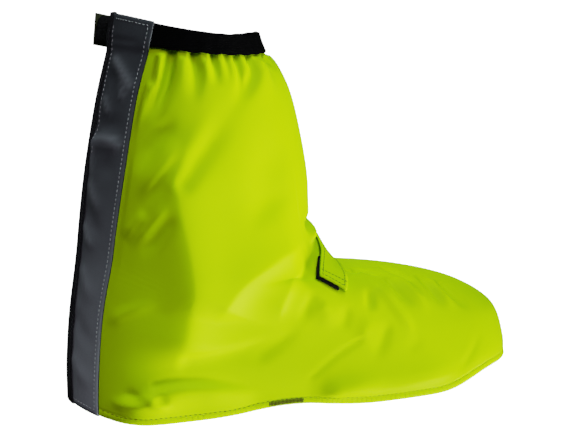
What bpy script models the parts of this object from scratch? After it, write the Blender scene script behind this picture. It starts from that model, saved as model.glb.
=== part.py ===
"""Cycling gaiter for the right foot: a hollow coated-fabric upper that is open at the collar and underneath,
with its reflective back strip, elastic collar band, closing straps and underfoot strap.

Metres, +Z up, +X towards the toe, -Y the outer side of the foot. Each piece is modelled from the back of the
heel, and the parent empty then puts the middle of the whole gaiter over the origin, standing on z = 0.
"""

import math
from collections import namedtuple

import bmesh
import bpy
from mathutils import Vector
from mathutils.bvhtree import BVHTree

MM = 0.001

# Fabric and tape thicknesses, and the gap that pieces keep where they meet
WALL = 1.2 * MM
HEM_WALL = 2.0 * MM
STRIP_THICK = 1.0 * MM
EDGE_TAPE_THICK = 1.0 * MM
BAND_THICK = 1.6 * MM
TAB_THICK = 1.0 * MM
HOOK_THICK = 1.4 * MM
STRAP_THICK = 1.4 * MM
WEBBING_THICK = 1.5 * MM
GAP = 0.3 * MM

# Hem: depth of the turned edge, and how far it lifts off the floor at the back, under the arch and at the toe
HEM_DEPTH = 8 * MM
BACK_LIFT, BACK_LIFT_REACH, BACK_LIFT_POWER = 10 * MM, 36 * MM, 1.5
ARCH_LIFT, ARCH_MIDDLE, ARCH_REACH = 5 * MM, 131 * MM, 56 * MM
TOE_LIFT, TOE_LIFT_START, TOE_LIFT_END = 11 * MM, 236 * MM, 282 * MM
LIFT_FADE_SECTIONS = 3

# Back strip and the tape along its far edge, measured round the heel from the middle of the back. The strip
# flares upwards between two heights, in the millimetres of the table of sections
STRIP_NEAR = 29 * MM
STRIP_FLARE = 5 * MM
FLARE_START, FLARE_END = 60, 180
STRIP_FAR = 6 * MM
EDGE_TAPE_FAR = 16 * MM
STRIP_ABOVE_COLLAR = 1.5 * MM
BAND_ABOVE_COLLAR = 0.8 * MM

# Inner side of the foot: fuller towards the big toe and a little narrower at the ball
INNER_HALF_SHARE = 0.95
TIP_BEND_START = 90 * MM
COLLAR_FAR_SAG, SAG_START = 5 * MM, 9

# How fast a section's height goes from its back to its front
TILT_POWER = 2

# Grid of the upper: fixed columns under the strip and its edge tape, then even ones to the tip
RING_SAMPLES = 160
NEAR_STRIP_STEPS = 3
SIDE_STEPS = 25
ROWS_PER_SECTION = 2
FAR_EDGES = [0.0, STRIP_FAR, (STRIP_FAR + EDGE_TAPE_FAR) / 2, EDGE_TAPE_FAR]
FAR_STRIP_STEPS = len(FAR_EDGES) - 1
COLUMNS = NEAR_STRIP_STEPS + FAR_STRIP_STEPS + 2 * SIDE_STEPS

# One row for each section from the hem's stitching up to the collar, in millimetres. back and front are its
# ends on the heel and on the toe, instep or shin. The heel is an ellipse of heel_len by heel_half, the sides
# run on to shoulder_half at shoulder_x, and the nose is a superellipse of power nose whose tip bends inwards by
# tip_y. The hem's lifts come on top of the heights, and fade out over the first sections.
Section = namedtuple(
    "Section",
    "name back_x back_z front_x front_z heel_len heel_half shoulder_x shoulder_half nose tip_y",
)
SECTIONS = [
    Section("hem top", 1.6, 8, 304.0, 8, 50, 41.5, 208, 51.0, 2.25, 5.0),
    Section("toe wall", 1.6, 21, 303.0, 19, 56, 42.5, 198, 50.5, 2.25, 5.0),
    Section("toe round", 2.2, 38, 298.5, 41, 61, 43.0, 180, 46.5, 2.15, 4.5),
    Section("toe top", 3.4, 56, 284.0, 56.5, 64, 43.5, 162, 44.5, 1.95, 4.0),
    Section("vamp", 5.4, 72, 254.0, 70, 66, 44.0, 138, 44.0, 1.75, 3.5),
    Section("instep", 7.7, 87, 212.0, 79.5, 68, 44.5, 112, 44.5, 1.65, 3.0),
    Section("bend", 9.4, 99, 181.0, 81.5, 70, 45.0, 98, 45.0, 1.85, 2.0),
    Section("bend fold", 10.6, 109, 167.5, 94, 71, 45.5, 92, 45.5, 1.95, 1.0),
    Section("ankle", 12.2, 123, 157.5, 115, 71, 46.0, 88, 46.0, 2.05, 0.0),
    Section("shin", 15.4, 147, 156.5, 142, 68, 46.0, 86, 46.0, 2.10, 0.0),
    Section("calf", 20.0, 173, 150.0, 176, 62, 45.5, 84, 45.5, 2.10, 0.0),
    Section("flare", 25.3, 199, 143.2, 200, 56, 44.5, 82, 44.5, 2.10, 0.0),
    Section("gathers", 30.9, 220.5, 134.5, 214.5, 51, 42.5, 82, 42.5, 2.05, 0.0),
    Section("band edge", 33.4, 230, 126.5, 221, 48, 40.5, 82, 40.5, 2.00, 0.0),
    Section("collar", 36.8, 244.0, 122.0, 232.0, 45, 39.5, 82, 39.5, 2.00, 0.0),
]

# Closing tab at the back of the collar: a fabric tab on the inner side that springs off the band and stands
# out behind it, with hook tape on the face that closes over the strip
TAB_ROOT_COLUMNS = 4
TAB_LEAVES_AT_COLUMN = 6
TAB_FREE_LENGTH = 33 * MM
TAB_STEPS = 5
TAB_RISE = 4.5 * MM
TAB_DROP = 3.0 * MM
HOOK_START_SHARE = 0.45
HOOK_MARGIN = 0.8 * MM
HOOK_CORNER_CUT = 3.5 * MM

# Instep strap: wraps round an axis inside the foot, which slopes with the bend and turns a little, so that
# the strap's outer end lies further back
STRAP_AXIS_POINT = Vector((145.5, 0, 71)) * MM
STRAP_SLOPE_DEG = 38
STRAP_TURN_DEG = 12
STRAP_WIDTH = 17.5 * MM
STRAP_NEAR_DEG, STRAP_FAR_DEG = 71, 64
STRAP_WIDTH_STEPS = 4
STRAP_STEPS = 20
STRAP_HOOK_COLUMNS, STRAP_RAMP_COLUMNS = 6, 3
STRAP_HOOK_PAST_DEG = 2
STRAP_HOOK_MARGIN = 0.8 * MM
STRAP_LIFT = 0.8 * MM

# Underfoot strap: webbing across the arch, its ends sewn inside the hem
WEBBING_MIDDLE = 127 * MM
WEBBING_WIDTH = 22 * MM
WEBBING_LEG = 9 * MM
WEBBING_CORNER = 3 * MM
WEBBING_SAG = 2.5 * MM
WEBBING_HEM_GAP = 0.5 * MM
WEBBING_WIDTH_STEPS = 2
WEBBING_STEPS = 12

# Materials
Finish = namedtuple("Finish", "name colour roughness metallic")
FABRIC = Finish("fluorescent_coated_fabric", (0.60, 0.82, 0.01, 1.0), 0.45, 0.0)
REFLECTIVE = Finish("reflective_grey_tape", (0.045, 0.052, 0.062, 1.0), 0.35, 0.2)
ELASTIC = Finish("black_elastic", (0.006, 0.006, 0.007, 1.0), 0.85, 0.0)
HOOK_TAPE = Finish("black_hook_tape", (0.006, 0.006, 0.007, 1.0), 0.95, 0.0)
EDGE_TAPE = Finish("black_edge_tape", (0.010, 0.010, 0.012, 1.0), 0.8, 0.0)
WEBBING = Finish("black_webbing", (0.008, 0.008, 0.009, 1.0), 0.7, 0.0)


# Scene and materials


def clear_scene():
    for obj in list(bpy.data.objects):
        bpy.data.objects.remove(obj)


def make_material(node, finish):
    material = bpy.data.materials.new(f"{node}_{finish.name}")
    material.use_nodes = True
    shader = material.node_tree.nodes["Principled BSDF"]
    shader.inputs["Base Color"].default_value = finish.colour
    shader.inputs["Roughness"].default_value = finish.roughness
    shader.inputs["Metallic"].default_value = finish.metallic
    return material


# The upper's own function: rings of points from the hem to the collar


def smoothstep(share):
    share = min(max(share, 0.0), 1.0)
    return share * share * (3 - 2 * share)


def blend_sections(position):
    """The section at a fractional place in the table, by a Catmull-Rom curve through its rows."""
    last = len(SECTIONS) - 1
    index = min(int(position), last - 1)
    share = position - index
    rows = [SECTIONS[min(max(index + step, 0), last)] for step in (-1, 0, 1, 2)]
    mixed = []
    for before, start, end, after in zip(*(row[1:] for row in rows)):
        slope_in, slope_out = (end - before) / 2, (after - start) / 2
        rise = end - start
        curve = (slope_in + slope_out - 2 * rise) * share + 3 * rise - 2 * slope_in - slope_out
        mixed.append(start + share * (slope_in + share * curve))
    return Section(SECTIONS[index].name, *mixed)


def hem_height(x):
    """Height of the hem's lower edge: on the floor at the heel and the ball, lifted between and beyond."""
    back = BACK_LIFT * max(0.0, 1 - x / BACK_LIFT_REACH) ** BACK_LIFT_POWER
    arch_share = min(1.0, abs(x - ARCH_MIDDLE) / ARCH_REACH)
    arch = ARCH_LIFT * math.cos(arch_share * math.pi / 2) ** 2
    toe = TOE_LIFT * smoothstep((x - TOE_LIFT_START) / (TOE_LIFT_END - TOE_LIFT_START))
    return back + arch + toe


def half_outline(section, side):
    """Fine plan points of half a section, from the middle of the back to its tip: side -1 outer, +1 inner."""
    shoulder_half = section.shoulder_half * (INNER_HALF_SHARE if side > 0 else 1.0)
    heel_end = section.back_x + section.heel_len
    nose_len = section.front_x - section.shoulder_x
    points = []
    for i in range(RING_SAMPLES):
        angle = math.pi / 2 * i / RING_SAMPLES
        points.append((heel_end - section.heel_len * math.cos(angle), section.heel_half * math.sin(angle)))
    for i in range(RING_SAMPLES):
        along = i / RING_SAMPLES
        half = section.heel_half + (shoulder_half - section.heel_half) * smoothstep(along)
        points.append((heel_end + (section.shoulder_x - heel_end) * along, half))
    for i in range(RING_SAMPLES + 1):
        angle = math.pi / 2 * i / RING_SAMPLES
        out = section.shoulder_x + nose_len * math.sin(angle) ** (2 / section.nose)
        points.append((out, shoulder_half * max(0.0, math.cos(angle)) ** (2 / section.nose)))
    bend_start = TIP_BEND_START / MM
    bend_len = section.front_x - bend_start
    return [
        Vector((x, side * half + section.tip_y * smoothstep((x - bend_start) / bend_len))) * MM
        for x, half in points
    ]


def spread(points, distances):
    """Points at the given distances along a fine line."""
    lengths = [0.0]
    for a, b in zip(points, points[1:]):
        lengths.append(lengths[-1] + (b - a).length)
    placed, index = [], 0
    for distance in distances(lengths[-1]):
        while index < len(points) - 2 and lengths[index + 1] < distance:
            index += 1
        step = lengths[index + 1] - lengths[index]
        share = (distance - lengths[index]) / step
        placed.append(points[index].lerp(points[index + 1], share))
    return placed


def column_distances(edges):
    """Fixed columns under the back strip, then even ones to the tip."""

    def distances(total):
        even = [edges[-1] + (total - edges[-1]) * i / SIDE_STEPS for i in range(1, SIDE_STEPS + 1)]
        return list(edges) + even

    return distances


def plan_ring(section):
    """Closed ring in plan: column 0 is the middle of the back, then the outer side, tip and inner side."""
    flare = STRIP_FLARE * smoothstep((section.back_z - FLARE_START) / (FLARE_END - FLARE_START))
    near_edges = [(STRIP_NEAR + flare) * i / NEAR_STRIP_STEPS for i in range(NEAR_STRIP_STEPS + 1)]
    near = spread(half_outline(section, -1), column_distances(near_edges))
    far = spread(half_outline(section, 1), column_distances(FAR_EDGES))
    return near + far[-2:0:-1]


def section_row(position):
    """Points of the upper's outer surface round the section at a fractional place in the table."""
    section = blend_sections(position)
    length = (section.front_x - section.back_x) * MM
    lift_share = 1 - smoothstep(position / LIFT_FADE_SECTIONS)
    sag = COLLAR_FAR_SAG * smoothstep((position - SAG_START) / (len(SECTIONS) - 1 - SAG_START))
    row = []
    for p in plan_ring(section):
        to_front = max(0.0, 1 - (p.x - section.back_x * MM) / length)
        height = (section.front_z + (section.back_z - section.front_z) * to_front ** TILT_POWER) * MM
        far_share = max(0.0, p.y) / (section.heel_half * MM)
        row.append(Vector((p.x, p.y, height + lift_share * hem_height(p.x) - sag * far_share)))
    return row


def upper_grid():
    """Outer surface of the upper as rows of points, from the hem's edge up to the collar."""
    steps = (len(SECTIONS) - 1) * ROWS_PER_SECTION
    grid = [section_row(step / ROWS_PER_SECTION) for step in range(steps + 1)]
    hem_edge = [point - Vector((0, 0, HEM_DEPTH)) for point in grid[0]]
    return [hem_edge] + grid


def grid_normals(grid):
    """Outward normals of a grid that is closed along its rows."""
    last = len(grid) - 1
    normals = []
    for r, row in enumerate(grid):
        above, below = grid[min(r + 1, last)], grid[max(r - 1, 0)]
        count = len(row)
        normals.append([
            (row[(c + 1) % count] - row[c - 1]).cross(above[c] - below[c]).normalized() for c in range(count)
        ])
    return normals


def raised(grid, normals, row, column, height):
    column %= COLUMNS
    return grid[row][column] + normals[row][column] * height


# Building objects from rows of points


def surface_object(name, rows, finish, collection, closed=False):
    """Open surface through rows of points. Its faces agree, and face_towards sets which way they point."""
    mesh = bpy.data.meshes.new(name)
    shape = bmesh.new()
    made = [[shape.verts.new(point) for point in row] for row in rows]
    count = len(rows[0])
    for low, high in zip(made, made[1:]):
        for c in range(count if closed else count - 1):
            right = (c + 1) % count
            shape.faces.new((low[c], low[right], high[right], high[c]))
    bmesh.ops.recalc_face_normals(shape, faces=shape.faces)
    shape.to_mesh(mesh)
    shape.free()
    mesh.shade_smooth()
    mesh.materials.append(make_material(name, finish))
    obj = bpy.data.objects.new(name, mesh)
    collection.objects.link(obj)
    return obj


def face_towards(obj, direction_at):
    """Turns the surface so that its first face points along the direction that direction_at gives at it."""
    face = obj.data.polygons[0]
    if face.normal.dot(direction_at(face.center)) < 0:
        obj.data.flip_normals()


def thicken(obj, thickness, offset, group=None, thin_share=1.0):
    """Wall of a thickness: offset -1 grows it inwards, +1 outwards. A group keeps it thicker in places."""
    solid = obj.modifiers.new("wall", "SOLIDIFY")
    solid.thickness = thickness
    solid.offset = offset
    solid.use_even_offset = True
    solid.use_rim = True
    if group:
        solid.vertex_group = group
        solid.thickness_vertex_group = thin_share
    return solid


# Pieces


def away_from_shaft_axis(at):
    return Vector((at.x - SECTIONS[-1].shoulder_x * MM, at.y, 0))


def make_upper(grid, collection):
    upper = surface_object("upper", grid, FABRIC, collection, closed=True)
    face_towards(upper, away_from_shaft_axis)
    hem = upper.vertex_groups.new(name="hem")
    hem.add(list(range(2 * COLUMNS)), 1.0, "REPLACE")
    thicken(upper, HEM_WALL, -1, "hem", WALL / HEM_WALL)
    return upper


def band_rows():
    """Rows of the grid under the collar band."""
    top = (len(SECTIONS) - 1) * ROWS_PER_SECTION + 1
    return list(range(top - ROWS_PER_SECTION, top + 1))


def make_collar_band(grid, normals, collection):
    rows = [[raised(grid, normals, r, c, GAP) for c in range(COLUMNS)] for r in band_rows()]
    rows[-1] = [point + Vector((0, 0, BAND_ABOVE_COLLAR)) for point in rows[-1]]
    band = surface_object("collar_band", rows, ELASTIC, collection, closed=True)
    face_towards(band, away_from_shaft_axis)
    thicken(band, BAND_THICK, 1)
    return band


def back_overlay(name, grid, normals, columns, thickness, finish, collection):
    """Strip of the upper's own function at the back, which steps out to run over the collar band."""
    over_band = GAP + BAND_THICK + GAP
    first_band_row = band_rows()[0]
    rows = []
    for r in range(len(grid)):
        lift = GAP + (over_band if r >= first_band_row else 0)
        rows.append([raised(grid, normals, r, c, lift) for c in columns])
    rows[-1] = [point + Vector((0, 0, STRIP_ABOVE_COLLAR)) for point in rows[-1]]
    strip = surface_object(name, rows, finish, collection)
    face_towards(strip, lambda at: Vector((-1, 0, 0)))
    thicken(strip, thickness, 1)
    return strip


def make_back_strip(grid, normals, collection):
    columns = range(-1, NEAR_STRIP_STEPS + 1)
    return back_overlay("back_strip", grid, normals, columns, STRIP_THICK, REFLECTIVE, collection)


def make_back_edge_tape(grid, normals, collection):
    columns = range(-FAR_STRIP_STEPS, 0)
    return back_overlay("back_edge_tape", grid, normals, columns, EDGE_TAPE_THICK, EDGE_TAPE, collection)


def tab_stations(grid, normals):
    """Low and high edge points of the closing tab, from its root on the band to its free end."""
    low_row, high_row = band_rows()[0], band_rows()[-1]
    height = GAP + BAND_THICK + GAP
    root_end = -(FAR_STRIP_STEPS + TAB_LEAVES_AT_COLUMN)
    root = [
        (raised(grid, normals, low_row, c, height), raised(grid, normals, high_row, c, height))
        for c in range(root_end - TAB_ROOT_COLUMNS, root_end + 1)
    ]
    low, high = root[-1]
    run = (low - root[-2][0] + high - root[-2][1]).normalized()
    for step in range(1, TAB_STEPS + 1):
        share = step / TAB_STEPS
        reach = run * TAB_FREE_LENGTH * share
        root.append((
            low + reach - Vector((0, 0, TAB_DROP * smoothstep(share * 2))),
            high + reach + Vector((0, 0, TAB_RISE * smoothstep(share * 2))),
        ))
    return root


def make_closure_tab(grid, normals, collection):
    stations = tab_stations(grid, normals)
    tab = surface_object("closure_tab", list(zip(*stations)), FABRIC, collection)
    face_towards(tab, lambda at: Vector((0, 1, 0)))
    thicken(tab, TAB_THICK, 1)
    return tab


def make_closure_tab_hook(grid, normals, collection):
    """Hook tape on the tab's inner face, with its far top corner cut off so that the tab shows there."""
    free = tab_stations(grid, normals)[-TAB_STEPS - 1:]
    run = (free[-1][0] - free[0][0]).normalized()
    inwards = Vector((run.y, -run.x, 0)).normalized() * GAP
    if inwards.y > 0:
        inwards.negate()
    margin = Vector((0, 0, HOOK_MARGIN))
    stations = []
    for step in range(TAB_STEPS + 1):
        share = HOOK_START_SHARE + (1 - HOOK_START_SHARE) * step / TAB_STEPS
        place = share * TAB_STEPS
        index = min(int(place), TAB_STEPS - 1)
        low = free[index][0].lerp(free[index + 1][0], place - index)
        high = free[index][1].lerp(free[index + 1][1], place - index)
        cut = HOOK_CORNER_CUT if step == TAB_STEPS else 0.0
        stations.append((low + margin + inwards, high - margin + inwards - Vector((0, 0, cut))))
    hook = surface_object("closure_tab_hook", list(zip(*stations)), HOOK_TAPE, collection)
    face_towards(hook, lambda at: Vector((0, -1, 0)))
    thicken(hook, HOOK_THICK, 1)
    return hook


def strap_directions():
    """The strap's axis inside the foot, straight up over the instep, and out to the outer side."""
    slope, turn = math.radians(STRAP_SLOPE_DEG), math.radians(STRAP_TURN_DEG)
    down_instep = Vector((math.cos(slope), 0, -math.sin(slope)))
    up = Vector((math.sin(slope), 0, math.cos(slope)))
    inner = Vector((0, 1, 0))
    axis = down_instep * math.cos(turn) + inner * math.sin(turn)
    outer = down_instep * math.sin(turn) - inner * math.cos(turn)
    return axis, up, outer


def taut(radii, angles):
    """Radii of a band pulled tight over points at these angles: it spans each hollow in a straight line."""
    tight = list(radii)
    count = len(radii)
    for i in range(count):
        for j in range(i):
            for k in range(i + 1, count):
                before = radii[j] * math.sin(abs(angles[i] - angles[j]))
                after = radii[k] * math.sin(abs(angles[k] - angles[i]))
                chord = radii[j] * radii[k] * math.sin(abs(angles[k] - angles[j])) / (before + after)
                tight[i] = max(tight[i], chord)
    return tight


def strap_base(tree):
    """Points and outward normals under the instep strap, pulled tight over the upper. The first row and
    column are the hook tape's edges, which stand a little past the strap's edge and end."""
    axis, up, outer = strap_directions()
    span = STRAP_NEAR_DEG + STRAP_FAR_DEG
    degrees = [STRAP_NEAR_DEG + STRAP_HOOK_PAST_DEG]
    degrees += [STRAP_NEAR_DEG - span * i / STRAP_STEPS for i in range(STRAP_STEPS + 1)]
    angles = [math.radians(degree) for degree in degrees]
    rays = [up * math.cos(angle) + outer * math.sin(angle) for angle in angles]
    alongs = [-STRAP_WIDTH / 2 - STRAP_HOOK_MARGIN]
    alongs += [STRAP_WIDTH * (i / STRAP_WIDTH_STEPS - 0.5) for i in range(STRAP_WIDTH_STEPS + 1)]
    starts = [STRAP_AXIS_POINT + axis * along for along in alongs]
    radii = [taut([tree.ray_cast(start, ray)[3] for ray in rays], angles) for start in starts]
    for r, along in enumerate(alongs):
        share = (along - alongs[0]) / (alongs[-1] - alongs[0])
        straight = [first + (last - first) * share for first, last in zip(radii[0], radii[-1])]
        radii[r] = [max(radius, line) for radius, line in zip(radii[r], straight)]
    points = [[start + ray * radius for ray, radius in zip(rays, row)] for start, row in zip(starts, radii)]
    normals = []
    for r, row in enumerate(points):
        above, below = points[min(r + 1, len(points) - 1)], points[max(r - 1, 0)]
        across = [row[min(c + 1, len(row) - 1)] - row[max(c - 1, 0)] for c in range(len(row))]
        normals.append([(above[c] - below[c]).cross(across[c]).normalized() for c in range(len(row))])
    return points, normals


def away_from_strap_axis(at):
    return at - STRAP_AXIS_POINT


def make_instep_strap(base, collection):
    """Fabric strap over the instep. It rides over its hook tape at the outer end."""
    points, normals = base
    over_hook = HOOK_THICK + GAP
    rows = []
    for row, row_normals in zip(points[1:], normals[1:]):
        rows.append([])
        for c in range(1, len(row)):
            share = smoothstep((STRAP_HOOK_COLUMNS + STRAP_RAMP_COLUMNS - c) / STRAP_RAMP_COLUMNS)
            rows[-1].append(row[c] + row_normals[c] * (STRAP_LIFT + over_hook * share))
    strap = surface_object("instep_strap", rows, FABRIC, collection)
    face_towards(strap, away_from_strap_axis)
    thicken(strap, STRAP_THICK, 1)
    return strap


def make_instep_strap_hook(base, collection):
    """Hook tape under the strap's outer end."""
    points, normals = base
    rows = [
        [row[c] + row_normals[c] * STRAP_LIFT for c in range(STRAP_HOOK_COLUMNS)]
        for row, row_normals in zip(points[:-1], normals[:-1])
    ]
    hook = surface_object("instep_strap_hook", rows, HOOK_TAPE, collection)
    face_towards(hook, away_from_strap_axis)
    thicken(hook, HOOK_THICK, 1)
    return hook


def hem_half(x, side):
    """Distance from the middle plane to the hem's outer face at a place along the foot."""
    outline = half_outline(SECTIONS[0], side)
    for a, b in zip(outline, outline[1:]):
        if a.x <= x < b.x:
            return abs(a.lerp(b, (x - a.x) / (b.x - a.x)).y)
    return abs(outline[-1].y)


def make_underfoot_strap(collection):
    """Webbing that hangs between the two sides of the hem, each end turned up and sewn inside it."""
    rows = []
    for i in range(WEBBING_WIDTH_STEPS + 1):
        x = WEBBING_MIDDLE + WEBBING_WIDTH * (i / WEBBING_WIDTH_STEPS - 0.5)
        inset = HEM_WALL + WEBBING_HEM_GAP
        near, far = -(hem_half(x, -1) - inset), hem_half(x, 1) - inset
        floor = hem_height(x) + WEBBING_THICK
        leg_start = floor + WEBBING_CORNER
        row = [Vector((x, near, leg_start + WEBBING_LEG)), Vector((x, near, leg_start))]
        start, end = near + WEBBING_CORNER, far - WEBBING_CORNER
        for step in range(WEBBING_STEPS + 1):
            share = step / WEBBING_STEPS
            sag = WEBBING_SAG * 4 * share * (1 - share)
            row.append(Vector((x, start + (end - start) * share, floor - sag)))
        row += [Vector((x, far, leg_start)), Vector((x, far, leg_start + WEBBING_LEG))]
        rows.append(row)
    strap = surface_object("underfoot_strap", rows, WEBBING, collection)
    face_towards(strap, lambda at: Vector((0, -1, 0)))
    thicken(strap, WEBBING_THICK, -1)
    return strap


# Assembly


def stand_on_origin(objects):
    """Parents the pieces to an empty that brings the middle of their common box over the origin."""
    graph = bpy.context.evaluated_depsgraph_get()
    corners = []
    for obj in objects:
        corners += [Vector(corner) for corner in obj.evaluated_get(graph).bound_box]
    root = bpy.data.objects.new("gaiter_root", None)
    objects[0].users_collection[0].objects.link(root)
    for obj in objects:
        obj.parent = root
    low = [min(corner[axis] for corner in corners) for axis in range(3)]
    high = [max(corner[axis] for corner in corners) for axis in range(3)]
    root.location = (-(low[0] + high[0]) / 2, -(low[1] + high[1]) / 2, -low[2])


def build_gaiter():
    clear_scene()
    collection = bpy.data.collections.new("cycling_gaiter")
    bpy.context.scene.collection.children.link(collection)
    grid = upper_grid()
    normals = grid_normals(grid)
    upper = make_upper(grid, collection)
    tree = BVHTree.FromPolygons(
        [vertex.co for vertex in upper.data.vertices],
        [list(face.vertices) for face in upper.data.polygons],
    )
    base = strap_base(tree)
    pieces = [
        upper,
        make_collar_band(grid, normals, collection),
        make_back_strip(grid, normals, collection),
        make_back_edge_tape(grid, normals, collection),
        make_closure_tab(grid, normals, collection),
        make_closure_tab_hook(grid, normals, collection),
        make_instep_strap(base, collection),
        make_instep_strap_hook(base, collection),
        make_underfoot_strap(collection),
    ]
    stand_on_origin(pieces)


build_gaiter()
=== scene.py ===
"""Looks of a cycling gaiter: folded coated fabric, a taped back, an elastic collar and sewn straps.

Metres, +X to the toe, -Y the outer side that the camera sees, +Z up. Tables of creases and places give
millimetres from the back of the heel, along the foot and above the floor.
"""

import math
from collections import namedtuple

import bmesh
import bpy
import numpy as np
from mathutils import Matrix, Vector
from mathutils.bvhtree import BVHTree


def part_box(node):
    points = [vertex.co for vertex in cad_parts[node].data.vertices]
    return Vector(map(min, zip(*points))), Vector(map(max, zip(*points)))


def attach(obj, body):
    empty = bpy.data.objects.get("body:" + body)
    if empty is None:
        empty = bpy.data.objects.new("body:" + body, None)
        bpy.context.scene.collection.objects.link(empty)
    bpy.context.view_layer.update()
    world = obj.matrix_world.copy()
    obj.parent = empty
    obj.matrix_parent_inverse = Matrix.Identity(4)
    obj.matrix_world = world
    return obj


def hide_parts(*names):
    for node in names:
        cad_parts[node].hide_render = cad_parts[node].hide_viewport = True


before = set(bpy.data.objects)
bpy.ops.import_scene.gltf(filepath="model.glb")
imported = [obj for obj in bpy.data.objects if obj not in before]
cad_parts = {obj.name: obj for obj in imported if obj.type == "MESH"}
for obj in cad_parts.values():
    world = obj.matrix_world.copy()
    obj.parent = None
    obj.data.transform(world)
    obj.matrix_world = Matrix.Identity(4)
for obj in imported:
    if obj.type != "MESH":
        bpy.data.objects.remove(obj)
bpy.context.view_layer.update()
bpy.ops.object.select_all(action="DESELECT")

# Upper
# One shell of thin fluorescent fabric with a smooth satin coating, sewn to the shape of a shoe and a lower
# leg. It is open at the collar and underneath, its hem is turned in, and its inner face is the knit backing.
MM = 0.001
HEM_BACK, MERGE_GAP = 1.6, 0.02
upper_low, upper_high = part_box("upper")
band_low, band_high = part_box("collar_band")
heel = Vector((upper_low.x - HEM_BACK * MM, (band_low.y + band_high.y) / 2, 0))


def copied(node, name):
    """A copy of a frame node with its loose triangles merged and made quads, alone in edit mode."""
    piece = bpy.data.objects.new(name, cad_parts[node].data.copy())
    piece.data.name = name
    piece.data.materials.clear()
    bpy.context.scene.collection.objects.link(piece)
    bpy.context.view_layer.objects.active = piece
    bpy.ops.object.mode_set(mode="EDIT")
    bpy.ops.mesh.select_all(action="SELECT")
    bpy.ops.mesh.remove_doubles(threshold=MERGE_GAP * MM)
    bpy.ops.mesh.customdata_custom_splitnormals_clear()
    bpy.ops.mesh.mark_sharp(clear=True)
    bpy.ops.mesh.tris_convert_to_quads(face_threshold=math.pi, shape_threshold=math.pi)
    bpy.ops.mesh.select_all(action="DESELECT")
    return piece


def crease_corners(angle):
    """Keeps the corners of the piece in edit mode crisp when it is subdivided."""
    bpy.ops.mesh.select_mode(type="EDGE")
    bpy.ops.mesh.select_all(action="DESELECT")
    bpy.ops.mesh.edges_select_sharp(sharpness=angle)
    bpy.ops.transform.edge_crease(value=1.0)
    bpy.ops.mesh.select_all(action="DESELECT")
    bpy.ops.mesh.select_mode(type="FACE")


def rounded(piece, levels):
    """Applies a subdivision surface to a piece and leaves it smooth, in object mode."""
    bpy.ops.object.mode_set(mode="OBJECT")
    surface = piece.modifiers.new("surface", "SUBSURF")
    surface.levels = surface.render_levels = levels
    bpy.context.view_layer.objects.active = piece
    bpy.ops.object.modifier_apply(modifier=surface.name)
    piece.data.shade_smooth()


def flood_face(piece, rank, slot, angle):
    """Gives a material slot to the smooth face region round the face that ranks lowest."""
    shape = bmesh.from_edit_mesh(piece.data)
    shape.faces.ensure_lookup_table()
    min(shape.faces, key=rank).select_set(True)
    bmesh.update_edit_mesh(piece.data)
    bpy.ops.mesh.faces_select_linked_flat(sharpness=angle)
    shape = bmesh.from_edit_mesh(piece.data)
    for face in shape.faces:
        if face.select:
            face.material_index = slot
    bmesh.update_edit_mesh(piece.data)
    bpy.ops.mesh.select_all(action="DESELECT")


def subdivided(piece, slot, cuts):
    """Cuts the faces of one material slot finer."""
    bpy.context.view_layer.objects.active = piece
    bpy.ops.object.mode_set(mode="EDIT")
    bpy.ops.mesh.select_mode(type="FACE")
    bpy.ops.mesh.select_all(action="DESELECT")
    piece.active_material_index = slot
    bpy.ops.object.material_slot_select()
    bpy.ops.mesh.subdivide(number_cuts=cuts, smoothness=1.0)
    bpy.ops.object.mode_set(mode="OBJECT")


class Nodes:
    """A socket of a material. Arithmetic on it adds Math nodes, and node() adds any other node."""

    def __init__(self, tree, socket=None):
        self.tree = tree
        self.socket = socket

    def node(self, kind, settings=None, inputs=None, output=0):
        made = self.tree.nodes.new(kind)
        for name, value in (settings or {}).items():
            if name == "stops":
                ramp = made.color_ramp
                ramp.elements[1].position = value[-1][0]
                for place, colour in value[1:-1]:
                    ramp.elements.new(place).color = colour
                ramp.elements[0].position = value[0][0]
                ramp.elements[0].color = value[0][1]
                ramp.elements[-1].color = value[-1][1]
            else:
                setattr(made, name, value)
        for name, value in (inputs or {}).items():
            self.feed(made.inputs[name], value)
        return Nodes(self.tree, made.outputs[output])

    def feed(self, socket, value):
        if isinstance(value, Nodes):
            self.tree.links.new(value.socket, socket)
        else:
            socket.default_value = value

    def math(self, operation, *values):
        return self.node("ShaderNodeMath", {"operation": operation}, dict(enumerate(values)))

    def mix(self, factor, first, second):
        """Colour between two colours."""
        inputs = {0: factor, 6: first, 7: second}
        return self.node("ShaderNodeMix", {"data_type": "RGBA"}, inputs, output=2)

    def __add__(self, other):
        return self.math("ADD", self, other)

    __radd__ = __add__

    def __sub__(self, other):
        return self.math("SUBTRACT", self, other)

    def __rsub__(self, other):
        return self.math("SUBTRACT", other, self)

    def __mul__(self, other):
        return self.math("MULTIPLY", self, other)

    __rmul__ = __mul__


def finish(name, constants):
    """A material with its constant sockets set, its shader and its nodes."""
    material = bpy.data.materials.new(name)
    material.use_nodes = True
    shader = material.node_tree.nodes["Principled BSDF"]
    for socket, value in constants.items():
        shader.inputs[socket].default_value = value
    return material, shader, Nodes(material.node_tree)


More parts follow.
